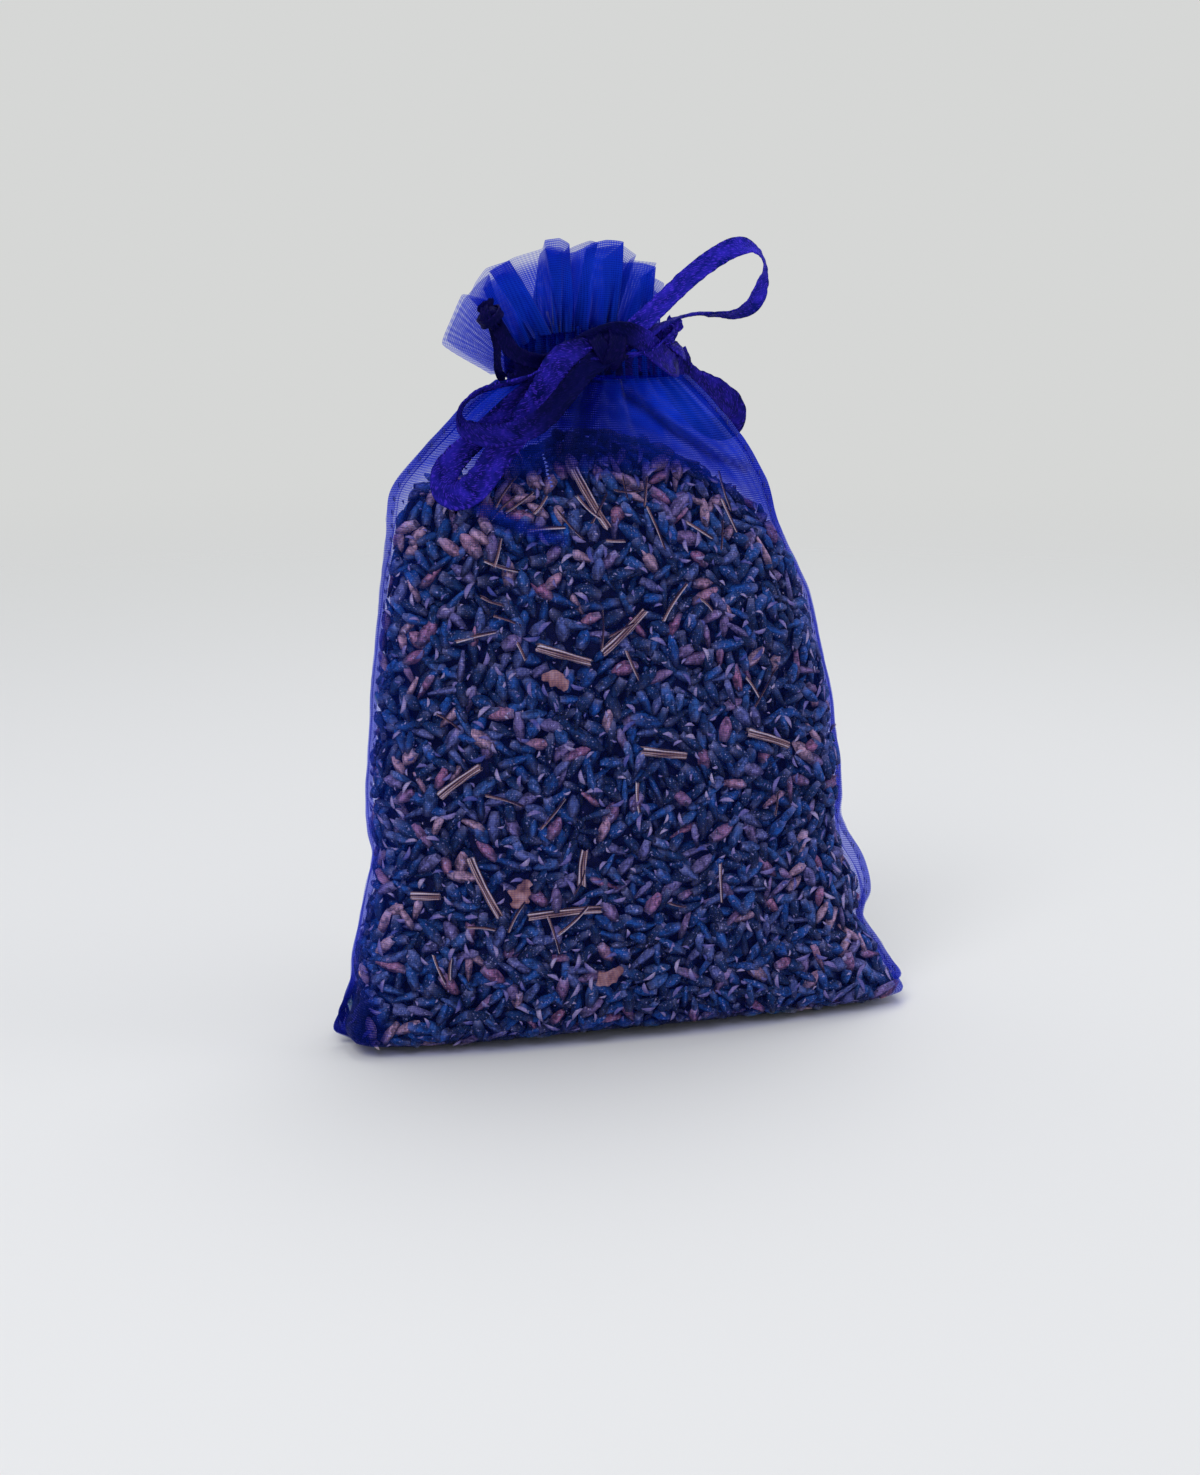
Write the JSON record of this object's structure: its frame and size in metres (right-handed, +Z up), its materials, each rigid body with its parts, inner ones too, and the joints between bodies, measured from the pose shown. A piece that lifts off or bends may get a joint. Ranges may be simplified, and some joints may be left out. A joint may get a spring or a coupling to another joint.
{
  "type": "lavender sachet",
  "caption": "See-through organza drawstring pouch filled with dried lavender, its gathered mouth tied with a narrow ribbon bow.",
  "frame": {"origin": "middle of the base that the pouch stands on, on the floor plane", "axes": "+X to the right along the pouch's width, -Y out of the front with the bow, +Z up"},
  "size_m": [0.102, 0.0344, 0.13],
  "materials": {
    "organza": "see-through crisp organza",
    "seam": "matte doubled organza",
    "gather": "bunched organza, many layers",
    "ribbon": "satin weave, soft sheen",
    "lavender": "dry, matte, loose buds",
    "stalk": "dry, matte"
  },
  "bodies": {
    "pouch": {"lavender_fill": "lavender", "front_panel": "organza", "back_panel": "organza", "left_side_seam": "seam", "right_side_seam": "seam", "bottom_seam": "seam", "drawstring_channel": "gather", "front_header": "organza", "back_header": "organza", "left_drawstring": "ribbon", "right_drawstring": "ribbon", "bow_knot": "ribbon", "right_tail_front_strand": "ribbon", "right_tail_rear_strand": "ribbon", "right_end_knot": "ribbon", "stalk_1": "stalk", "stalk_2": "stalk", "stalk_3": "stalk", "stalk_4": "stalk", "stalk_5": "stalk", "stalk_6": "stalk", "stalk_7": "stalk", "stalk_8": "stalk", "stalk_9": "stalk", "stalk_10": "stalk", "leaf_scrap_1": "stalk", "leaf_scrap_2": "stalk", "leaf_scrap_3": "stalk"},
    "left_front_bow_loop": {"left_front_loop": "ribbon"},
    "left_hanging_bow_loop": {"left_hanging_loop": "ribbon"},
    "right_upper_bow_loop": {"right_upper_loop": "ribbon"},
    "right_rear_bow_loop": {"right_rear_loop": "ribbon"},
    "left_tail": {"left_tail_front_strand": "ribbon", "left_tail_rear_strand": "ribbon", "left_end_knot": "ribbon"}
  },
  "joints": [
    {"name": "left_hanging_loop_swing", "type": "hinge", "parent": "pouch", "child": "left_hanging_bow_loop", "pos_m": [-0.0085, -0.0116, 0.1116], "axis": [-0.5291, 0, 0.8486], "range_deg": [0, 35], "stiffness_Nm_per_rad": 0.0005},
    {"name": "left_front_loop_swing", "type": "hinge", "parent": "pouch", "child": "left_front_bow_loop", "pos_m": [-0.0085, -0.0116, 0.1116], "axis": [-0.5291, 0, 0.8486], "range_deg": [0, 42], "stiffness_Nm_per_rad": 0.0005},
    {"name": "right_upper_loop_swing", "type": "hinge", "parent": "pouch", "child": "right_upper_bow_loop", "pos_m": [-0.0017, -0.0092, 0.1154], "axis": [0.6392, 0, -0.769], "range_deg": [0, 40], "stiffness_Nm_per_rad": 0.0005},
    {"name": "right_rear_loop_swing", "type": "hinge", "parent": "pouch", "child": "right_rear_bow_loop", "pos_m": [0.0078, 0.0026, 0.1117], "axis": [0.6, 0, 0.8], "range_deg": [0, 40], "stiffness_Nm_per_rad": 0.0005},
    {"name": "left_tail_swing", "type": "hinge", "parent": "pouch", "child": "left_tail", "pos_m": [-0.0084, -0.0071, 0.1142], "axis": [0.9854, 0, 0.1701], "range_deg": [-15, 15], "stiffness_Nm_per_rad": 0.0005}
  ],
  "couplings": [
    {"joint": "left_front_loop_swing", "follows": "left_hanging_loop_swing", "ratio": 1.15}
  ]
}
